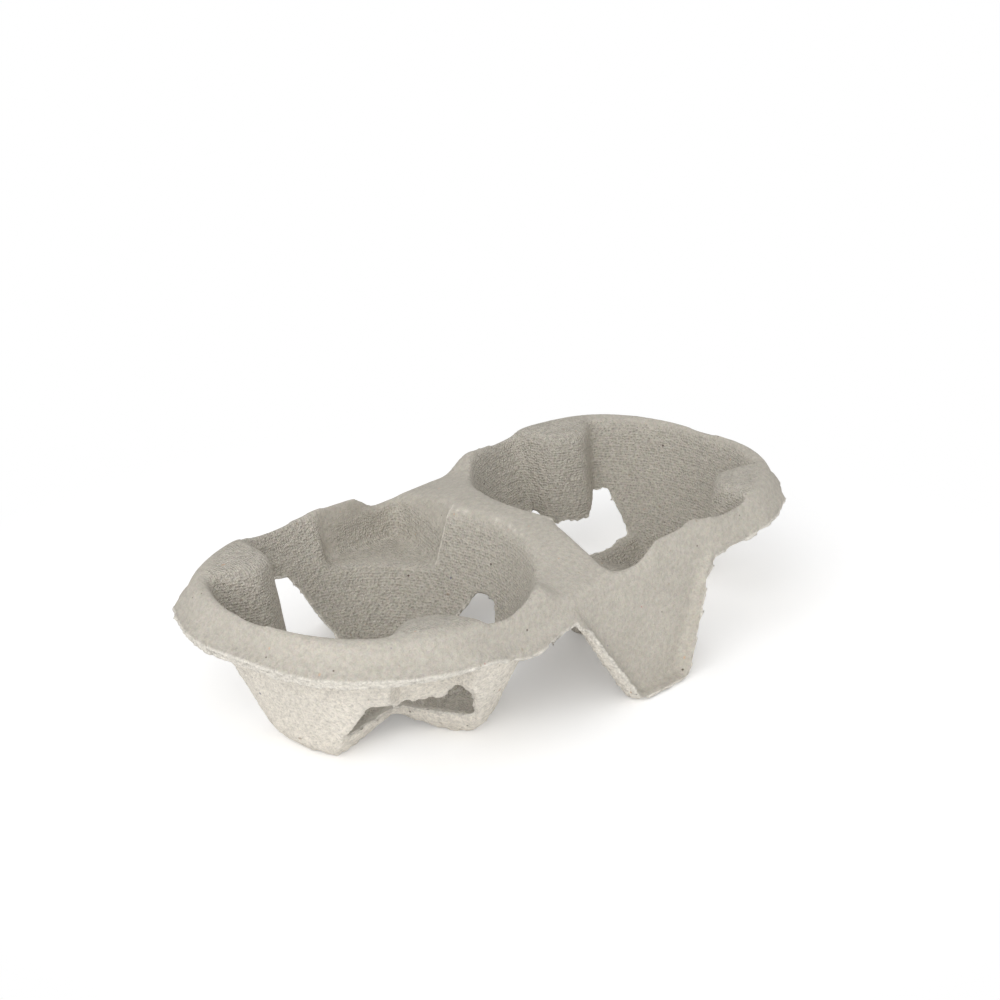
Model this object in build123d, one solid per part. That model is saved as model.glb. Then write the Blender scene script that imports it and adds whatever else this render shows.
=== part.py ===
from build123d import *
import os
from math import radians, tan

# Carrier for two cups, pressed from one sheet of moulded pulp, in millimetres.
# X runs along the length, Y across, Z up, with the origin under the middle on the floor.
# The whole form repeats after half a turn about Z. Each round well stands on three
# troughed feet, with slots between them, and a leg of the skirt props the middle of each side.
# The sheet is what lies between two mould halves, so each sub-part below is a function of
# skin: 0 gives the upper half, and the sheet's thickness gives the lower half.

# Sheet
thickness = 2.2
overrun = 5.0

# Wells, whose mouths set the plan, drawn in below the mouth by these steps
well_mouth_radius = 45.0
well_gap = 11.0
well_spacing = 2 * well_mouth_radius + well_gap
well_neck_step = 1.8
well_waist_step = 7.6
well_floor_step = 16.0
well_neck_radius = well_mouth_radius - well_neck_step
well_waist_radius = well_mouth_radius - well_waist_step
well_floor_radius = well_mouth_radius - well_floor_step

# Heights, from the floor up or from the crest down
crest_height = 44.0
well_neck_drop = 3.0
well_neck_height = crest_height - well_neck_drop
well_waist_height = 20.0
seat_height = 8.0

# Rim at the crest, measured outwards from the mouths, and how far its skirt flares
rim_wide = 1.3
rim_narrow = -0.7
rim_waist = -2.0
corner_share = 0.8
crest_half_length = well_spacing / 2 + well_mouth_radius
crest_wide_half = well_mouth_radius + rim_wide
crest_narrow_half = well_mouth_radius + rim_narrow
crest_waist_half = well_mouth_radius + rim_waist
crest_corner = corner_share * well_mouth_radius
crest_round = 3.0
flare_drop = 11.0
flare_height = crest_height - flare_drop
flare_end = 5.8
flare_wide = 3.6
flare_narrow = 3.4
flare_waist = 1.2
waist_offset = 20.0
waist_bend = 60.0
leg_splay = 4.0

# Lip that stands out along every trimmed edge
lip_reach = 2.4
lip_thickness = 2.0
edge_drop_end = 8.5
edge_drop_well = 11.0
edge_drop_middle = 13.5
edge_height_end = crest_height - edge_drop_end
edge_height_well = crest_height - edge_drop_well
edge_height_middle = crest_height - edge_drop_middle

# Troughed feet of a well
foot_angles = (182.0, -56.0, 40.0)
foot_pad_length = 10.0
foot_pad_start = well_floor_radius - foot_pad_length
foot_half_width = 8.2
foot_root_half_width = 5.0
foot_flare = 35.0
foot_round = 3.0
hub_radius = 11.0

# Slots, each from one foot to the next
slot_height = 15.5
slot_heights_outside = (23.0, 26.0, 31.0)
slot_inset = 1.0
slot_radius = well_floor_radius - slot_inset
slot_reach = well_neck_radius

# Fins that steady a cup, two in each well
fin_angles = (122.0, -113.0)
fin_depth = 13.7
fin_tip_radius = well_mouth_radius - fin_depth
fin_tip_half_width = 5.2
fin_base_half_width = 20.0
fin_lean = 7.5
fin_swell = 2.5
fin_round = 5.5
fin_drop = 1.5
fin_tip_height = crest_height - fin_drop
fin_rise = 0.5
fin_shoulder = 2.6

# Hump between the wells
hump_rise = 1.2
hump_reach = 24.0

# Saddles in front of and behind the hump
saddle_drop = 6.0
saddle_height = crest_height - saddle_drop
saddle_left = -22.0
saddle_right = 10.0
saddle_flank = 9.0
saddle_rear = 22.0
saddle_round = 5.0

# Pocket that opens each well towards its leg
pocket_depth = 17.0
pocket_floor = crest_height - pocket_depth
pocket_draft = 20.0
pocket_inset = 0.6
pocket_edge_half = crest_waist_half - pocket_inset
pocket_front_draft = 4.0
pocket_left = -3.5
pocket_right = 36.0
pocket_rear_left = 5.5
pocket_rear_right = 40.0
pocket_rear = 14.0
pocket_round_left = 2.5
pocket_round_right = 6.0

# Legs of the skirt
leg_toe_left = 1.0
leg_toe_right = 23.5
leg_top_left = -15.5
leg_top_right = 36.5
leg_toe_reach = 2.2
leg_round = 5.0
leg_blend = 5.0
leg_bend = 8.0


def both_halves(part):
    return part + Rot(0, 0, 180) * part


def rim_face(height, end, wide, narrow, waist, corner, waist_x, bend):
    """Outline of the rim, wide at its left front corner and drawn in at the waist."""
    front = [(-end, -wide), (waist_x, -waist), (end, -narrow)]
    corners = front + [(-x, -y) for x, y in front]
    radii = [corner, bend, corner] * 2
    return Pos(0, 0, height) * make_face(FilletPolyline(*corners, radius=radii, close=True))


def rim_section(height, grow, flare):
    """Rim outline grown by grow all round and by the named flares times flare."""
    end = crest_half_length + grow + flare_end * flare
    wide = crest_wide_half + grow + flare_wide * flare
    narrow = crest_narrow_half + grow + flare_narrow * flare
    waist = crest_waist_half + grow + flare_waist * flare
    corner = crest_corner + grow + flare_end * flare
    return rim_face(height, end, wide, narrow, waist, corner, -waist_offset, waist_bend + grow)


def block(skin):
    """Outside of the pressing: a rounded crest, the flared skirt and the drafted legs."""
    crest = rim_section(crest_height - skin, -skin, 0)
    skirt = rim_section(flare_height, -skin, 1)
    floor = rim_section(-overrun, leg_splay - skin, 1)
    body = loft([floor, skirt, crest], ruled=True)
    top = body.faces().sort_by(Axis.Z)[-1]
    return fillet(top.edges(), crest_round - min(skin, crest_round / 2))


def hump(skin):
    """Low dome between the wells."""
    radius = (hump_reach**2 + hump_rise**2) / (2 * hump_rise)
    ball = Pos(0, 0, crest_height + hump_rise - radius) * Sphere(radius - skin)
    column = Cylinder(hump_reach, 2 * crest_height, align=(Align.CENTER, Align.CENTER, Align.MIN))
    return ball & Pos(0, 0, crest_height / 2) * column


def saddle_cut(skin):
    """Channel across the front rim, which climbs inwards to the hump."""
    climb = crest_height - saddle_height
    lean = climb / saddle_rear
    front = crest_waist_half + flare_waist + lip_reach + overrun
    low = saddle_height - skin - lean * (front - crest_waist_half)
    top = crest_height + overrun - skin
    flank = saddle_flank * (top - low) / climb
    left, right = saddle_left - skin, saddle_right + skin
    bend = saddle_round + skin
    corners = [(left - flank, top), (left, low), (right, low), (right + flank, top)]
    section = make_face(FilletPolyline(*corners, radius=[0, bend, bend, 0], close=True))
    far = Plane.XZ * Pos(0, lean * front) * section
    return loft([Plane.XZ.offset(front) * section, far], ruled=True)


def well_radius(height, skin):
    """Radius of the lower part of a well's wall."""
    spread = (well_waist_radius - well_floor_radius) / well_waist_height
    return well_floor_radius + skin + height * spread


def well_bowl(skin):
    """Round part of a well above its seat."""
    low = seat_height - skin
    top = crest_height + hump_rise + overrun
    profile = Polyline(
        (0, 0, top),
        (0, 0, low),
        (well_radius(low, skin), 0, low),
        (well_waist_radius + skin, 0, well_waist_height - skin / 2),
        (well_neck_radius + skin, 0, well_neck_height - skin / 2),
        (well_mouth_radius + skin, 0, crest_height - skin),
        (well_mouth_radius + skin, 0, top),
        close=True,
    )
    return revolve(make_face(profile), Axis.Z)


def trough(angle, skin):
    """One foot: a trough that slopes from the hub down to a flat pad."""
    floor = thickness - skin
    reach = slot_reach
    root = foot_root_half_width + skin
    end = root + (foot_half_width - foot_root_half_width) * reach / well_floor_radius
    top = seat_height + overrun
    wall = (top - floor) * tan(radians(foot_flare))
    foot = overrun * tan(radians(foot_flare))

    def cross(half_width):
        return make_face(
            Polyline(
                (foot - half_width, floor - overrun),
                (half_width - foot, floor - overrun),
                (half_width + wall, top),
                (-half_width - wall, top),
                close=True,
            )
        )

    channel = loft([Plane.YZ * cross(root), Plane.YZ.offset(reach) * cross(end)], ruled=True)
    side = make_face(
        Polyline(
            (0, seat_height - skin),
            (foot_root_half_width, seat_height - skin),
            (foot_pad_start, floor),
            (reach, floor),
            (reach, top),
            (0, top),
            close=True,
        )
    )
    slope = extrude(Plane.XZ * side, reach, both=True)
    return Rot(0, 0, angle) * (channel & slope)


def feet(skin):
    """The three troughs of a well, ended by its round wall and bevelled where they stand."""
    troughs = [trough(angle, skin) for angle in foot_angles]
    floor = thickness - skin
    bevel = foot_round - floor
    top = seat_height + overrun
    profile = Polyline(
        (0, 0, floor - overrun),
        (well_radius(floor, skin) - bevel - overrun, 0, floor - overrun),
        (well_radius(floor + bevel, skin), 0, floor + bevel),
        (well_radius(top, skin), 0, top),
        (0, 0, top),
        close=True,
    )
    return (troughs[0] + troughs[1] + troughs[2]) & revolve(make_face(profile), Axis.Z)


def fin_plan(height, skin):
    """Nose outline of a fin at one height, with its tip towards the well's middle."""
    share = 1 - height / crest_height
    tip = fin_tip_radius + skin - fin_lean * share
    base = well_mouth_radius + overrun
    tip_half = fin_tip_half_width + fin_swell * share - skin / 2
    base_half = fin_base_half_width + fin_swell * share - skin / 2
    nose = [(base, -base_half), (tip, -tip_half), (tip, tip_half), (base, base_half)]
    radius = fin_round - skin / 2
    return Pos(0, 0, height) * make_face(FilletPolyline(*nose, radius=[0, radius, radius, 0], close=True))


def fin_roof(skin):
    """Side view of a fin's top, which falls from the crest to the tip."""
    fall = (crest_height - fin_tip_height) / (well_mouth_radius - fin_tip_radius)
    inner, outer = fin_tip_radius - fin_lean - overrun, well_mouth_radius + 2 * overrun
    crest = crest_height + fin_rise - skin
    return make_face(
        Polyline(
            (inner, 0),
            (outer, 0),
            (outer, crest + fall * (outer - well_mouth_radius)),
            (inner, crest - fall * (well_mouth_radius - inner)),
            close=True,
        )
    )


def fin(angle, skin):
    """Rib in a well's wall, whose edge leans out as the cup does."""
    body = loft([fin_plan(0, skin), fin_plan(crest_height + overrun, skin)], ruled=True)
    body &= extrude(Plane.XZ * fin_roof(skin), crest_wide_half, both=True)
    ridge = body.faces().sort_by(Axis.Z)[-1].edges().sort_by(Axis.X)[:-1]
    return Rot(0, 0, angle) * fillet(ridge, fin_shoulder - skin / 2)


def well(skin):
    """Space in one well: bowl and feet less the fins."""
    space = well_bowl(skin) + feet(skin)
    for angle in fin_angles:
        space -= fin(angle, skin)
    return Pos(-well_spacing / 2, 0, 0) * space


def pocket(skin):
    """Space behind a leg, which opens the right well towards the front rim."""

    def plan(height):
        depth = crest_height - height
        side = depth * tan(radians(pocket_draft)) - skin
        front = depth * tan(radians(pocket_front_draft)) - skin - pocket_edge_half
        corners = [
            (pocket_left + side, front),
            (pocket_right - side / 2, front),
            (pocket_rear_right, -pocket_rear),
            (pocket_rear_left + side, -pocket_rear),
        ]
        radii = [pocket_round_left, pocket_round_right, 0, 0]
        return Pos(0, 0, height) * make_face(FilletPolyline(*corners, radius=radii, close=True))

    return loft([plan(pocket_floor - skin), plan(crest_height + overrun)], ruled=True)


def mould(skin):
    """One half of the mould, solid under its face."""
    form = block(skin) + hump(skin)
    form -= both_halves(saddle_cut(skin))
    form -= both_halves(pocket(skin))
    return form - both_halves(well(skin))


def leg_window(inset):
    """Front leg seen from the front, shrunk by inset, which widens where it meets the rim."""
    toe = leg_round - inset
    corners = [
        (leg_toe_left + inset, inset),
        (leg_toe_right - inset, inset),
        (leg_top_right - inset, edge_height_well - leg_blend),
        (leg_top_right - inset + leg_blend, edge_height_well + inset),
        (leg_top_right - inset, crest_height),
        (leg_top_left + inset, crest_height),
        (leg_top_left + inset - leg_blend, edge_height_middle + inset),
        (leg_top_left + inset, edge_height_middle - leg_blend),
    ]
    radii = [toe, toe, leg_bend, 0, 0, 0, 0, leg_bend]
    return make_face(FilletPolyline(*corners, radius=radii, close=True))


def kept(inset):
    """What the trimming leaves: all above an arched line, and the two legs."""
    reach = crest_half_length + flare_end + lip_reach + overrun
    heights = [edge_height_end, edge_height_well, edge_height_middle, edge_height_well, edge_height_end]
    stations = [-reach, -well_spacing / 2, 0, well_spacing / 2, reach]
    points = [(x, z + inset) for x, z in zip(stations, heights)]
    top = crest_height + hump_rise + overrun
    outline = [Spline(*points), Polyline(points[-1], (reach, top), (-reach, top), points[0])]
    across = 2 * crest_wide_half
    above = extrude(Plane.XZ * make_face(outline), across, both=True)
    return above + both_halves(extrude(Plane.XZ * leg_window(inset), across))


def skirt_zone():
    """Everything from the inside of the skirt outwards, up to just under the crest."""
    inner = [
        rim_section(-overrun, leg_splay - 2 * thickness, 1),
        rim_section(flare_height, -1.5 * thickness, 1),
    ]
    around = 2 * (crest_half_length + flare_end + leg_splay + overrun)
    outer = Pos(0, 0, -overrun) * Box(
        around, around, flare_height + overrun, align=(Align.CENTER, Align.CENTER, Align.MIN)
    )
    return outer - loft(inner, ruled=True)


def lip():
    """Band that stands out from the skirt along its trimmed edge."""
    band = kept(0) - kept(lip_thickness)
    outside = loft(
        [
            rim_section(-overrun, leg_splay + lip_reach + leg_toe_reach, 1),
            rim_section(flare_height, lip_reach, 1),
            rim_section(crest_height, lip_reach, 0),
        ],
        ruled=True,
    )
    return band & (outside - block(thickness))


def foot_outside(angle):
    """A foot with its walls, run on upwards, which the slots leave standing."""
    root = foot_root_half_width + thickness
    end = root + (foot_half_width - foot_root_half_width) * slot_reach / well_floor_radius
    top = max(slot_heights_outside) + overrun
    wall = top * tan(radians(foot_flare))

    def cross(half_width):
        left = [(-half_width - wall, top), (-half_width, 0), (-half_width, -overrun)]
        return make_face(Polyline(*left, *[(-x, z) for x, z in reversed(left)], close=True))

    body = loft([Plane.YZ * cross(root), Plane.YZ.offset(slot_reach) * cross(end)], ruled=True)
    return Rot(0, 0, angle) * body


def slots():
    """Openings between the feet of the left well, taller in the wall than in the fins."""
    cut = Part()
    ends = foot_angles[1:] + foot_angles[:1]
    for start, end, height in zip(foot_angles, ends, slot_heights_outside):
        profile = Polyline(
            (hub_radius, 0, -overrun),
            (slot_reach, 0, -overrun),
            (slot_reach, 0, height),
            (slot_radius, 0, slot_height),
            (hub_radius, 0, slot_height),
            close=True,
        )
        turn = revolve(make_face(profile), Axis.Z, revolution_arc=(end - start) % 360)
        cut += Rot(0, 0, start) * turn
    for angle in foot_angles:
        cut -= foot_outside(angle)
    return Pos(-well_spacing / 2, 0, 0) * cut


def carrier():
    sheet = mould(0) - mould(thickness)
    sheet -= skirt_zone() - kept(0)
    sheet += lip()
    sheet -= both_halves(slots())
    floor = Box(
        4 * crest_half_length, 4 * crest_half_length, overrun * 2,
        align=(Align.CENTER, Align.CENTER, Align.MAX),
    )
    return sheet - floor


os.makedirs("parts", exist_ok=True)
whole = carrier()
export_step(whole, "parts/cup_carrier.step")
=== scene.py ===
import math

import bmesh
import bpy
import numpy as np
from bpy.props import FloatProperty, FloatVectorProperty, IntProperty, PointerProperty
from mathutils import Matrix, Vector, noise
from mathutils.bvhtree import BVHTree
from mathutils.kdtree import KDTree


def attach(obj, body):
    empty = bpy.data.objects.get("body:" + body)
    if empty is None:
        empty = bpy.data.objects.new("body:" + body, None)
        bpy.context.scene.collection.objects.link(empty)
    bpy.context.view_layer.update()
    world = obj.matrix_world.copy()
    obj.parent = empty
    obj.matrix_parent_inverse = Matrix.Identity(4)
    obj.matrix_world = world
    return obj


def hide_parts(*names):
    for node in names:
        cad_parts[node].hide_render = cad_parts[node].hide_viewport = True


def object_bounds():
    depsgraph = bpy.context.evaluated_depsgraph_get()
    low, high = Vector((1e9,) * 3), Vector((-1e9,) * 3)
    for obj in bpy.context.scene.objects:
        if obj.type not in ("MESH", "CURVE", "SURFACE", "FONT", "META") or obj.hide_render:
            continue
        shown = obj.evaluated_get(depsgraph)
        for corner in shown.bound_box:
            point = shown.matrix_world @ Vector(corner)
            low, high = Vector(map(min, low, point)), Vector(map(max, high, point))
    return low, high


bl_info = {
    "name": "Moulded pulp cup carrier",
    "version": (1, 0, 0),
    "blender": (4, 5, 0),
    "location": "View3D > Sidebar > Carrier",
    "description": "Turns the carrier's CAD solid into moulded pulp and sets the stage",
    "category": "Object",
}

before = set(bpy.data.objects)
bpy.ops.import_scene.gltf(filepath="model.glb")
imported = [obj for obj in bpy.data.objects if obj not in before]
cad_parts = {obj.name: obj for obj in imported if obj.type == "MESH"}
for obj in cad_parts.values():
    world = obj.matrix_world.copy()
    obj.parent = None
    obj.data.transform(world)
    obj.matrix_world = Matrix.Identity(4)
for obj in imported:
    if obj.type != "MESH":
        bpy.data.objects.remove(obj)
cad_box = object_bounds()

NODE = "cup_carrier"
BODY = "root"
PIECE = "pulp_sheet"

MM = 0.001
MERGE = 0.01 * MM

# Each well's middle, along X from the carrier's middle, and its radius inside
WELL_X = 50.5 * MM
WELL_RADIUS = 44.5 * MM

# A trimmed edge is a fold of at least this angle between a face that rises and one that falls.
# No edge above TRIM_TOP is trimmed, nor one above LEG_TOP within a leg's width.
TRIM_FOLD = math.radians(50)
TRIM_SLOPE = 0.01
TRIM_TOP = 37 * MM
LEG_TOP = 31.5 * MM
LEG_HALF_WIDTH = 19.5 * MM

# Fades, each from its first value to its second. CUT_FADE is a distance from a trimmed edge and
# WELL_FADE one from a well's middle, POCKET_FADES are along X, Y and Z, and the rest are heights.
CUT_FADE = (1.0 * MM, 2.8 * MM)
WELL_FADE = (WELL_RADIUS - 1.5 * MM, WELL_RADIUS + 1 * MM)
POCKET_FADES = ((25 * MM, 30 * MM), (41 * MM, 43 * MM), (35 * MM, 39 * MM))
ROUNDING_FADE = (24 * MM, 34 * MM)
LIP_FADE = (26 * MM, 30 * MM)
WARP_FADE = (1 * MM, 16 * MM)

# Settling of the mesh: passes, share of each move, and how much the trimmed edges hold back
SETTLE_PASSES = 2
SETTLE_SHARE = 0.5
EDGE_HOLD_SHARE = 0.6

# The slots end below SLOT_TOP. Trimmed edges are thinned from below and the lip is let down.
SLOT_TOP = 32 * MM
EDGE_THINNING = 0.8 * MM
LIP_DROP = 1.7 * MM

# Random fields: span, seed and octaves
LUMP_FIELD = (1.9 * MM, 11, 3)
DIMPLE_FIELD = (4.5 * MM, 17, 2)
TEAR_FIELD = (6.5 * MM, 23, 2)
FRAY_FIELD = (2.6 * MM, 29, 2)
WARP_SEED = 1
SEED_STEPS = (7.3, 3.1, 5.7)
FIELD_FALL = 0.9
FIELD_STEP = 2.1

# Dimples of the smooth side, and the share of the lumps that reaches the trimmed edges
DIMPLE_HEIGHT = 0.07 * MM
EDGE_LUMP_SHARE = 0.5

# Tears: share of the fine fraying, then the shares of a tear that move an edge outwards, with
# more at the rim, and up and down
FRAY_SHARE = 0.6
OUT_SHARE = 0.4
RIM_OUT_SHARE = 0.6
RIM_UP_SHARE = 0.8
SLOT_UP_SHARE = 0.9

# Places that stand away from the regular form: middle, radius and move, all in mm. The first two
# are the left tip, and then come the lip beside the front leg, and the tongue and the notch of
# the front slot.
DENTS = (
    ((-90.0, 30.0, 34.0), 26.0, (-1.9, 1.9, -0.3)),
    ((-98.0, 12.0, 35.0), 18.0, (-1.0, 0.3, -0.6)),
    ((-39.0, -46.0, 29.0), 20.0, (0.0, -0.6, -3.4)),
    ((-69.5, -25.0, 16.0), 4.0, (-0.3, -0.5, -1.5)),
    ((-52.5, -33.0, 19.0), 7.0, (0.0, 0.0, 4.0)),
)

# Patterns of the pulp: repeats per millimetre, detail and roughness
FELT = (0.75, 4.0, 0.6)
FINE = (2.6, 2.0, 0.6)
BLOTCH = (0.045, 3.0, 0.5)
FLECK = (1.1, 3.0, 0.7)
FIBRE = (0.7, 4.0, 0.65)
FIBRE_TURN = (0.5, 0.4, 0.8)
FIBRE_STRETCH = (0.7, 1.9, 1.9)
WIRE_REPEATS = 1.25
WIRE_RANDOMNESS = 0.55

# Heights in the relief, and the share of the wire imprint outside the wells
FELT_HEIGHT = 1.2
FINE_HEIGHT = 0.6
WIRE_HEIGHT = 1.9
FIBRE_HEIGHT = 2.8
FAINT_WIRE_SHARE = 0.12

# Darkening by each pattern: painted shade in the hollows of every relief, which in the felt and
# the fine grain is also their grain, and slow random blotches of tone. Each row gives the pattern's
# low and high values, and the brightness at each. EDGE_TINT gives the share of the trimmed edges'
# colour in the same way.
FELT_SHADE = (0.3, 0.7, 0.89, 1.06)
FINE_SHADE = (0.25, 0.75, 0.91, 1.06)
BLOTCH_TONE = (0.3, 0.7, 0.96, 1.03)
FIBRE_SHADE = (0.30, 0.62, 0.80, 1.06)
WIRE_SHADE = (0.1, 0.6, 0.90, 1.05)
EDGE_TINT = (0.65, 1.0, 0.0, 0.9)
FLECK_SHARE = 0.10
PULP_ROUGHNESS = 0.92
PULP_SPECULAR = 0.18

# Specks: size of a cell and radius in mm, share of the cells that hold one, tint and stretch
SPECKS = (
    (3.2, 0.50, 0.25, (0.07, 0.045, 0.03), (1.0, 1.0, 1.0)),
    (4.0, 0.50, 0.20, (0.18, 0.17, 0.24), (1.0, 1.0, 1.0)),
    (6.0, 0.50, 0.15, (0.40, 0.06, 0.05), (1.0, 1.6, 1.0)),
    (5.0, 0.90, 0.15, (0.60, 0.42, 0.30), (1.0, 2.0, 1.5)),
    (5.0, 1.00, 0.15, (0.42, 0.35, 0.28), (2.6, 1.0, 1.8)),
)
SPECK_SHIFTS = (1.0, 2.0, 3.0)
SPECK_TURNS = (0.7, 1.1, 1.9)
SPECK_SOFTNESS = 0.06
SPECK_STRENGTH = 0.8

# The floor: gap under the carrier, half width, where it turns plain white, and a faint glow
FLOOR_GAP = 0.05 * MM
FLOOR_HALF_WIDTH = 4.0
FLOOR_FADE = (0.11, 0.20)
FLOOR_LIFT = 0.17

# Square lamps: width, place and target
KEY_LAMP = (0.9, (-0.95, -0.30, 0.70), (0, 0, 0.02))
FRONT_LAMP = (0.8, (-0.65, -0.85, 0.16), (0, 0, 0.01))

# The camera: place, direction in plan, tilt downwards, lens and sensor in mm, and nearest view
CAMERA_PLACE = (-0.4337, -0.3940, 0.2859)
CAMERA_LOOK = (0.740, 0.673)
CAMERA_PITCH = math.radians(22.1)
CAMERA_LENS = 79.2
CAMERA_SENSOR = 36
CAMERA_NEAR = 0.01

WHITE = (1, 1, 1, 1)

# Numbers of a Mix node's sockets: both inputs and the output, for colours and for plain values
MIX_COLOURS = (6, 7, 2)
MIX_VALUES = (2, 3, 0)


class CarrierShape(bpy.types.PropertyGroup):
    voxel: FloatProperty(
        name="Grain", description="Spacing of the sheet's mesh", default=0.99 * MM, unit="LENGTH"
    )
    passes: IntProperty(
        name="Rounding", description="Smoothing passes that round the upper folds", default=10
    )
    warp: FloatProperty(
        name="Warp", description="How far the dried sheet strays from its mould", default=0.45 * MM,
        unit="LENGTH",
    )
    warp_span: FloatProperty(
        name="Warp span", description="Distance between two warps", default=24 * MM, unit="LENGTH"
    )
    ragged: FloatProperty(
        name="Ragged edge", description="How far the trimmed edges stray", default=0.8 * MM,
        unit="LENGTH",
    )
    lumps: FloatProperty(
        name="Lumps", description="Height of the lumps on the rough side", default=0.42 * MM,
        unit="LENGTH",
    )


class CarrierLook(bpy.types.PropertyGroup):
    smooth: FloatVectorProperty(
        name="Smooth side", description="Colour of the side pressed on the mould",
        default=(0.530, 0.495, 0.433), subtype="COLOR",
    )
    rough: FloatVectorProperty(
        name="Rough side", description="Colour of the open side and of the feet",
        default=(0.895, 0.842, 0.753), subtype="COLOR",
    )
    edge: FloatVectorProperty(
        name="Trimmed edge", description="Colour of the trimmed edges",
        default=(0.920, 0.876, 0.793), subtype="COLOR",
    )
    relief: FloatProperty(
        name="Relief", description="Height of the pulp's relief", default=0.35 * MM, unit="LENGTH"
    )


class CarrierStage(bpy.types.PropertyGroup):
    floor: FloatVectorProperty(
        name="Floor", description="Colour of the floor", default=(1.0, 1.0, 1.0), subtype="COLOR"
    )
    sky: FloatProperty(name="Sky", description="Strength of the light all round", default=0.72)
    key: FloatProperty(
        name="Key light", description="Power of the key light", default=5.6, unit="POWER"
    )
    front: FloatProperty(
        name="Front light", description="Power of the low front light", default=3.0, unit="POWER"
    )


def read(items, name, width, kind=np.float32):
    """The named values of all items, one row of the given width for each."""
    out = np.empty(len(items) * width, dtype=kind)
    items.foreach_get(name, out)
    return out.reshape(-1, width)


def fill(obj, points):
    """Puts the vertices of obj's mesh at the points."""
    flat = np.ascontiguousarray(points, dtype=np.float32).ravel()
    obj.data.vertices.foreach_set("co", flat)
    obj.data.update()


def normals_at(obj, points):
    """Normals of obj's mesh with its vertices at the points."""
    fill(obj, points)
    return read(obj.data.vertices, "normal", 3).astype(np.float64)


def store(obj, name, values):
    """Keeps one value for each vertex, for the material to read."""
    layer = obj.data.attributes.new(name, "FLOAT", "POINT")
    layer.data.foreach_set("value", values.astype(np.float32))


def relax(values, edges, passes, share):
    """Moves each value towards the mean of its neighbours."""
    count = len(values)
    degree = np.maximum(np.bincount(edges.ravel(), minlength=count), 1)
    share = np.broadcast_to(share, (count,))[:, None]
    out = values.reshape(count, -1).astype(np.float64)
    for _ in range(passes):
        mean = np.empty_like(out)
        for axis in range(out.shape[1]):
            one = out[:, axis]
            total = np.bincount(edges[:, 0], weights=one[edges[:, 1]], minlength=count)
            total += np.bincount(edges[:, 1], weights=one[edges[:, 0]], minlength=count)
            mean[:, axis] = total / degree
        out += (mean - out) * share
    return out.reshape(values.shape)


def ramp(values, low, high):
    """0 up to low, 1 from high and a smooth step between them."""
    part = np.clip((values - low) / (high - low), 0, 1)
    return part * part * (3 - 2 * part)


def field(points, span, seed, octaves=1):
    """Smooth noise of about -1 to 1 at every point."""
    shift = Vector([seed * step for step in SEED_STEPS])
    scaled = (points / span).tolist()
    if octaves == 1:
        return np.array([noise.noise(Vector(p) + shift) for p in scaled])
    return np.array(
        [noise.fractal(Vector(p) + shift, FIELD_FALL, FIELD_STEP, octaves) for p in scaled]
    )


def drift(points, span, seed):
    """Smooth noise vector at every point."""
    return np.stack([field(points, span, seed + k) for k in range(3)], axis=1)


def placed(name, data):
    """New object in the scene."""
    obj = bpy.data.objects.new(name, data)
    bpy.context.scene.collection.objects.link(obj)
    return obj


def merged_copy(node):
    """Copy of a node's mesh as one closed skin, where the node stands."""
    mesh = node.data.copy()
    mesh.transform(node.matrix_world)
    bm = bmesh.new()
    bm.from_mesh(mesh)
    bmesh.ops.remove_doubles(bm, verts=bm.verts, dist=MERGE)
    bm.to_mesh(mesh)
    bm.free()
    return mesh


def fine_skin(mesh, voxel):
    """Object that has the form of mesh, with evenly spaced vertices."""
    obj = placed(PIECE, mesh)
    even = obj.modifiers.new("Even", "REMESH")
    even.mode = "VOXEL"
    even.voxel_size = voxel
    graph = bpy.context.evaluated_depsgraph_get()
    skin = bpy.data.meshes.new_from_object(obj.evaluated_get(graph))
    obj.modifiers.clear()
    obj.data = skin
    skin.materials.clear()
    return obj


def trimmed_edges(mesh, step):
    """Search tree of points along the trimmed edges, where the sheet's two sides meet."""
    bm = bmesh.new()
    bm.from_mesh(mesh)
    points = []
    for edge in bm.edges:
        if len(edge.link_faces) != 2 or edge.calc_face_angle() < TRIM_FOLD:
            continue
        rises = sorted(face.normal.z for face in edge.link_faces)
        a, b = (v.co.copy() for v in edge.verts)
        if rises[0] > -TRIM_SLOPE or rises[1] < TRIM_SLOPE or max(a.z, b.z) > TRIM_TOP:
            continue
        if abs(a.x + b.x) / 2 < LEG_HALF_WIDTH and (a.z + b.z) / 2 > LEG_TOP:
            continue
        count = max(2, math.ceil((b - a).length / step))
        points += [a.lerp(b, k / count) for k in range(count + 1)]
    bm.free()
    tree = KDTree(len(points))
    for i, point in enumerate(points):
        tree.insert(point, i)
    tree.balance()
    return tree


def trimmed(mould, points, step):
    """1 at a trimmed edge and 0 away from it."""
    tree = trimmed_edges(mould, step)
    away = np.array([tree.find(Vector(p))[2] for p in points.tolist()])
    return 1 - ramp(away, *CUT_FADE)


def upper_side(mould, points):
    """1 where a point is on the upper side of the sheet and 0 where it is on the lower side."""
    corners = [v.co for v in mould.vertices]
    faces = [tuple(p.vertices) for p in mould.polygons]
    tree = BVHTree.FromPolygons(corners, faces)
    return np.array([float(tree.find_nearest(Vector(p))[1].z > 0) for p in points.tolist()])


def well_distance(points):
    """Distance in plan from each point to the middle of the nearer well."""
    x, y = points[:, 0], points[:, 1]
    return np.minimum(np.hypot(x - WELL_X, y), np.hypot(x + WELL_X, y))


def wired(points, well):
    """1 in the wells and in the pockets between them, and 0 elsewhere."""
    pocket = 1.0
    for axis, fade in enumerate(POCKET_FADES):
        pocket = pocket * (1 - ramp(abs(points[:, axis]), *fade))
    return np.maximum(1 - ramp(well, *WELL_FADE), pocket)


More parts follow.
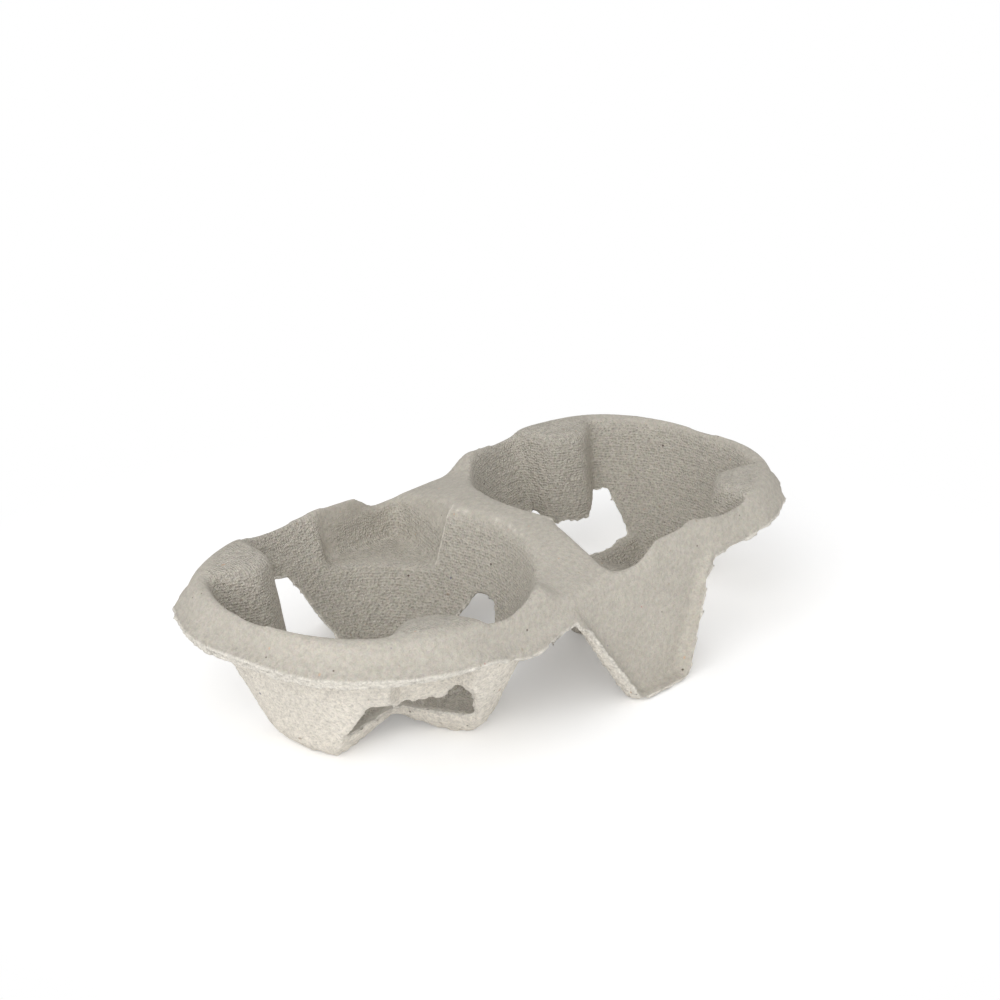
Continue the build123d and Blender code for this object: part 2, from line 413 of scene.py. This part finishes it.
def rounded(points, edges, cut, passes):
    """The points with softly rounded folds above and crisper feet below."""
    points = relax(points, edges, SETTLE_PASSES, SETTLE_SHARE * (1 - EDGE_HOLD_SHARE * cut))
    high = ramp(points[:, 2], *ROUNDING_FADE) * (1 - cut)
    return relax(points, edges, passes, SETTLE_SHARE * high)


def dried(points, shape):
    """The points as drying leaves them, a little warped and with dents."""
    free = ramp(points[:, 2], *WARP_FADE)
    points = points + drift(points, shape.warp_span, WARP_SEED) * shape.warp * free[:, None]
    for middle, radius, move in DENTS:
        away = np.linalg.norm(points / MM - np.array(middle), axis=1) / radius
        points += np.array(move) * MM * (1 - ramp(away, 0, 1))[:, None]
    return points


def swell(points, rough, lumps):
    """Height of the lumps on the rough side and of the dimples on the smooth side."""
    height = field(points, *LUMP_FIELD) * lumps * rough
    return height + field(points, *DIMPLE_FIELD) * DIMPLE_HEIGHT * (1 - rough)


def torn(points, cut, lip, slots, ragged):
    """The points with torn edges, which stray outwards and up and down."""
    flat = points * (1, 1, 0)
    tear = field(flat, *TEAR_FIELD) + FRAY_SHARE * field(flat, *FRAY_FIELD)
    tear *= ragged
    outwards = flat - np.clip(flat, (-WELL_X, 0, 0), (WELL_X, 0, 0))
    outwards /= np.linalg.norm(outwards, axis=1)[:, None]
    points = points + outwards * (tear * cut * (OUT_SHARE + RIM_OUT_SHARE * lip))[:, None]
    points[:, 2] += RIM_UP_SHARE * tear * cut * lip
    points[:, 2] += SLOT_UP_SHARE * tear * cut * slots
    return points


class CARRIER_OT_pulp_sheet(bpy.types.Operator):
    """Makes the pulp sheet from the carrier's CAD solid"""

    bl_idname = "carrier.pulp_sheet"
    bl_label = "Pulp sheet"

    def execute(self, context):
        shape = context.scene.carrier_shape
        mould = merged_copy(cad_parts[NODE])
        obj = fine_skin(mould, shape.voxel)
        edges = read(obj.data.edges, "vertices", 2, np.int32)
        points = read(obj.data.vertices, "co", 3).astype(np.float64)
        points = relax(points, edges, SETTLE_PASSES, SETTLE_SHARE)

        # Where each point is: at a trimmed edge, on the upper side, and in a well or a pocket
        cut = trimmed(mould, points, shape.voxel)
        upper = relax(upper_side(mould, points), edges, 1, SETTLE_SHARE)
        well = well_distance(points)
        inside = upper * wired(points, well)

        points = rounded(points, edges, cut, shape.passes)
        slots = (well < WELL_RADIUS) * (points[:, 2] < SLOT_TOP)
        normals = normals_at(obj, points)
        points -= normals * ((1 - upper) * cut * EDGE_THINNING)[:, None]
        lip = (1 - slots) * ramp(points[:, 2], *LIP_FADE)
        points[:, 2] -= ramp(cut, 0, 1) * lip * LIP_DROP

        points = dried(points, shape)
        rough = np.clip(1 - upper + EDGE_LUMP_SHARE * cut, 0, 1)
        normals = normals_at(obj, points)
        points += normals * swell(points, rough, shape.lumps)[:, None]
        points = torn(points, cut, lip, slots, shape.ragged)
        low, high = np.array(cad_box[0]), np.array(cad_box[1])
        fill(obj, np.clip(points, low, high))

        store(obj, "upper", upper)
        store(obj, "cut", cut)
        store(obj, "inside", inside)
        obj.data.polygons.foreach_set("use_smooth", [True] * len(obj.data.polygons))
        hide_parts(NODE)
        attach(obj, BODY)
        return {"FINISHED"}


class Nodes:
    """Short calls for building a node tree."""

    def __init__(self, owner):
        owner.use_nodes = True
        self.tree = owner.node_tree
        self.tree.nodes.clear()

    def add(self, kind, settings=None, **links):
        """New node with its settings, and its inputs by name or by number, as in i0."""
        node = self.tree.nodes.new(kind)
        for name, value in (settings or {}).items():
            setattr(node, name, value)
        for name, value in links.items():
            numbered = name[0] == "i" and name[1:].isdigit()
            key = int(name[1:]) if numbered else name.replace("_", " ")
            self.set(node.inputs[key], value)
        return node

    def set(self, socket, value):
        if isinstance(value, bpy.types.NodeSocket):
            self.tree.links.new(value, socket)
        else:
            socket.default_value = value

    def math(self, operation, a, b):
        return self.add("ShaderNodeMath", {"operation": operation}, i0=a, i1=b).outputs[0]

    def mixed(self, settings, sockets, share, a, b):
        first, second, out = sockets
        node = self.add("ShaderNodeMix", settings, i0=share)
        self.set(node.inputs[first], a)
        self.set(node.inputs[second], b)
        return node.outputs[out]

    def mix(self, share, a, b, blend="MIX"):
        """Mix of two colours."""
        return self.mixed({"data_type": "RGBA", "blend_type": blend}, MIX_COLOURS, share, a, b)

    def blend(self, share, a, b):
        """Mix of two plain values."""
        return self.mixed({"data_type": "FLOAT"}, MIX_VALUES, share, a, b)

    def span(self, value, low, high, out_low=0.0, out_high=1.0):
        node = self.add("ShaderNodeMapRange", {"clamp": True, "interpolation_type": "SMOOTHSTEP"})
        for socket, number in zip(node.inputs, (value, low, high, out_low, out_high)):
            self.set(socket, number)
        return node.outputs[0]

    def noise(self, vector, scale, detail, roughness, out="Fac"):
        node = self.add(
            "ShaderNodeTexNoise", Vector=vector, Scale=scale, Detail=detail, Roughness=roughness
        )
        return node.outputs[out]

    def attribute(self, name):
        return self.add("ShaderNodeAttribute", {"attribute_name": name}).outputs["Fac"]

    def seen(self):
        """1 for what the camera sees straight, in a mirror or through glass, and 0 for light."""
        path = self.add("ShaderNodeLightPath").outputs
        direct = self.math("MAXIMUM", path["Is Camera Ray"], path["Is Glossy Ray"])
        return self.math("MAXIMUM", direct, path["Is Transmission Ray"])


def rgba(colour):
    return (*colour, 1.0)


def specks(n, place, colour, seed, cell, radius, share, tint, stretch):
    """Scatters small specks of one tint over a colour."""
    moved = n.add(
        "ShaderNodeMapping", Vector=place, Location=[seed * shift for shift in SPECK_SHIFTS],
        Rotation=[seed * turn for turn in SPECK_TURNS], Scale=[part / cell for part in stretch],
    ).outputs[0]
    cells = n.add("ShaderNodeTexVoronoi", Vector=moved, Scale=1.0)
    pick = n.add("ShaderNodeSeparateColor", Color=cells.outputs["Color"])
    chosen = n.math("GREATER_THAN", pick.outputs[0], 1 - share)
    size = n.math("MULTIPLY", pick.outputs[1], radius / cell)
    dot = n.math("SUBTRACT", size, cells.outputs["Distance"])
    dot = n.math("MULTIPLY", n.span(dot, 0.0, SPECK_SOFTNESS), chosen)
    return n.mix(n.math("MULTIPLY", dot, SPECK_STRENGTH), colour, rgba(tint))


def pulp_material(look):
    """Moulded pulp: felted and grey above, pale and fibrous below and at the trimmed edges."""
    material = bpy.data.materials.new("moulded_pulp")
    n = Nodes(material)
    metres = n.add("ShaderNodeTexCoord").outputs["Object"]
    scaled = n.add("ShaderNodeVectorMath", {"operation": "SCALE"}, i0=metres, Scale=1 / MM)
    place = scaled.outputs[0]
    upper, cut, inside = (n.attribute(name) for name in ("upper", "cut", "inside"))
    bare = n.math("MAXIMUM", n.math("SUBTRACT", 1.0, upper), cut)

    felt = n.noise(place, *FELT)
    fine = n.noise(place, *FINE)
    blotch = n.noise(place, *BLOTCH)
    fleck = n.noise(place, *FLECK, "Color")
    wires = n.add(
        "ShaderNodeTexVoronoi", Vector=place, Scale=WIRE_REPEATS, Randomness=WIRE_RANDOMNESS
    ).outputs["Distance"]
    turned = n.add("ShaderNodeMapping", Vector=place, Rotation=FIBRE_TURN, Scale=FIBRE_STRETCH)
    fibres = n.noise(turned.outputs[0], *FIBRE)

    # Relief: felt everywhere, coarse fibres below and a wire imprint, faint outside the wells
    felted = n.math("MULTIPLY", felt, FELT_HEIGHT)
    felted = n.math("ADD", felted, n.math("MULTIPLY", fine, FINE_HEIGHT))
    imprinted = n.math("ADD", n.math("MULTIPLY", wires, WIRE_HEIGHT), felted)
    fibrous = n.math("ADD", n.math("MULTIPLY", fibres, FIBRE_HEIGHT), felt)
    height = n.blend(n.blend(inside, FAINT_WIRE_SHARE, 1.0), felted, imprinted)
    height = n.blend(bare, height, fibrous)
    bump = n.add("ShaderNodeBump", Strength=1.0, Distance=look.relief, Height=height).outputs[0]

    # Colour, with painted shade in the hollows of each relief (felt and fine grain, fibres, wire
    # imprint) and slow random blotches of tone
    colour = n.mix(upper, rgba(look.rough), rgba(look.smooth))
    colour = n.mix(n.span(cut, *EDGE_TINT), colour, rgba(look.edge))
    colour = n.mix(FLECK_SHARE, colour, fleck, "OVERLAY")
    # Painted shade: the hollows of the felt, the fine grain, the fibres below and the wire imprint
    # are darker, and the blotches are random tone
    painted_shade_and_tone = n.span(felt, *FELT_SHADE)
    for each in (
        n.blend(bare, 1.0, n.span(fibres, *FIBRE_SHADE)),
        n.blend(inside, 1.0, n.span(wires, *WIRE_SHADE)),
        n.span(blotch, *BLOTCH_TONE),
        n.span(fine, *FINE_SHADE),
    ):
        painted_shade_and_tone = n.math("MULTIPLY", painted_shade_and_tone, each)
    grey = n.add("ShaderNodeCombineColor", i0=painted_shade_and_tone, i1=painted_shade_and_tone, i2=painted_shade_and_tone).outputs[0]
    colour = n.mix(1.0, colour, grey, "MULTIPLY")
    for seed, sort in enumerate(SPECKS, 1):
        colour = specks(n, place, colour, seed, *sort)

    shader = n.add("ShaderNodeBsdfPrincipled", Base_Color=colour, Normal=bump)
    shader.inputs["Roughness"].default_value = PULP_ROUGHNESS
    shader.inputs["Specular IOR Level"].default_value = PULP_SPECULAR
    n.add("ShaderNodeOutputMaterial", Surface=shader.outputs[0])
    return material


class CARRIER_OT_pulp_finish(bpy.types.Operator):
    """Gives the pulp sheet its material"""

    bl_idname = "carrier.pulp_finish"
    bl_label = "Pulp finish"

    def execute(self, context):
        obj = bpy.data.objects[PIECE]
        obj.data.materials.append(pulp_material(context.scene.carrier_look))
        return {"FINISHED"}


def floor_material(colour):
    """Pale floor that keeps the shadows, turns plain white further out and is clear from below."""
    material = bpy.data.materials.new("floor")
    n = Nodes(material)
    seen = n.seen()
    place = n.add("ShaderNodeTexCoord").outputs["Object"]
    far = n.add("ShaderNodeVectorMath", {"operation": "LENGTH"}, i0=place).outputs["Value"]
    share = n.math("MULTIPLY", seen, n.span(far, *FLOOR_FADE))
    lift = n.math("MULTIPLY", seen, FLOOR_LIFT)
    matt = n.add("ShaderNodeBsdfDiffuse", Color=rgba(colour)).outputs[0]
    glow = n.add("ShaderNodeEmission", Color=WHITE, Strength=lift).outputs[0]
    matt = n.add("ShaderNodeAddShader", i0=matt, i1=glow).outputs[0]
    white = n.add("ShaderNodeEmission", Color=WHITE, Strength=1.0).outputs[0]
    top = n.add("ShaderNodeMixShader", Fac=share, i1=matt, i2=white).outputs[0]
    below = n.add("ShaderNodeNewGeometry").outputs["Backfacing"]
    clear = n.add("ShaderNodeBsdfTransparent").outputs[0]
    mix = n.add("ShaderNodeMixShader", Fac=below, i1=top, i2=clear)
    n.add("ShaderNodeOutputMaterial", Surface=mix.outputs[0])
    return material


def white_world(strength):
    """Even light all round, seen as plain white."""
    world = bpy.data.worlds.new("studio")
    n = Nodes(world)
    light = n.add("ShaderNodeBackground", Color=WHITE, Strength=strength).outputs[0]
    white = n.add("ShaderNodeBackground", Color=WHITE, Strength=1.0).outputs[0]
    mix = n.add("ShaderNodeMixShader", Fac=n.seen(), i1=light, i2=white)
    n.add("ShaderNodeOutputWorld", Surface=mix.outputs[0])
    return world


def aimed(position, target):
    """Matrix of a lamp or camera at position that looks at target."""
    turn = (Vector(target) - Vector(position)).to_track_quat("-Z", "Y").to_matrix().to_4x4()
    return Matrix.Translation(position) @ turn


def area_light(name, power, size, position, target):
    light = bpy.data.lights.new(name, "AREA")
    light.energy = power
    light.size = size
    placed(name, light).matrix_world = aimed(position, target)


def stage_floor(colour):
    """Flat floor just under the carrier's feet."""
    mesh = bpy.data.meshes.new("floor")
    bm = bmesh.new()
    bmesh.ops.create_grid(bm, x_segments=1, y_segments=1, size=FLOOR_HALF_WIDTH)
    bmesh.ops.translate(bm, verts=bm.verts, vec=(0, 0, -FLOOR_GAP))
    bm.to_mesh(mesh)
    bm.free()
    mesh.materials.append(floor_material(colour))
    return placed("floor", mesh)


def stage_camera():
    """Camera at the photograph's angle."""
    camera = bpy.data.cameras.new("camera")
    camera.lens = CAMERA_LENS
    camera.sensor_width = CAMERA_SENSOR
    camera.clip_start = CAMERA_NEAR
    flat = Vector((*CAMERA_LOOK, 0)).normalized() * math.cos(CAMERA_PITCH)
    look = flat - Vector((0, 0, math.sin(CAMERA_PITCH)))
    obj = placed("camera", camera)
    obj.matrix_world = aimed(CAMERA_PLACE, Vector(CAMERA_PLACE) + look)
    return obj


class CARRIER_OT_stage(bpy.types.Operator):
    """Sets the floor, the light and the camera"""

    bl_idname = "carrier.stage"
    bl_label = "Stage"

    def execute(self, context):
        stage = context.scene.carrier_stage
        scene = context.scene
        floor = stage_floor(stage.floor)
        scene.world = white_world(stage.sky)
        area_light("key", stage.key, *KEY_LAMP)
        area_light("front", stage.front, *FRONT_LAMP)
        scene.camera = stage_camera()
        scene.view_settings.view_transform = "Standard"
        return {"FINISHED"}


class CARRIER_PT_panel(bpy.types.Panel):
    bl_idname = "CARRIER_PT_panel"
    bl_label = "Cup carrier"
    bl_space_type = "VIEW_3D"
    bl_region_type = "UI"
    bl_category = "Carrier"

    def draw(self, context):
        for group in GROUPS:
            settings = getattr(context.scene, group)
            for name in settings.__annotations__:
                self.layout.prop(settings, name)
        for operator in OPERATORS:
            self.layout.operator(operator.bl_idname)


GROUPS = {"carrier_shape": CarrierShape, "carrier_look": CarrierLook, "carrier_stage": CarrierStage}
OPERATORS = (CARRIER_OT_pulp_sheet, CARRIER_OT_pulp_finish, CARRIER_OT_stage)
CLASSES = (*GROUPS.values(), *OPERATORS, CARRIER_PT_panel)


def register():
    for each in CLASSES:
        bpy.utils.register_class(each)
    for name, group in GROUPS.items():
        setattr(bpy.types.Scene, name, PointerProperty(type=group))


def unregister():
    for name in GROUPS:
        delattr(bpy.types.Scene, name)
    for each in reversed(CLASSES):
        bpy.utils.unregister_class(each)


def main():
    register()
    bpy.ops.carrier.pulp_sheet()
    bpy.ops.carrier.pulp_finish()
    bpy.ops.carrier.stage()


if __name__ == "__main__":
    main()
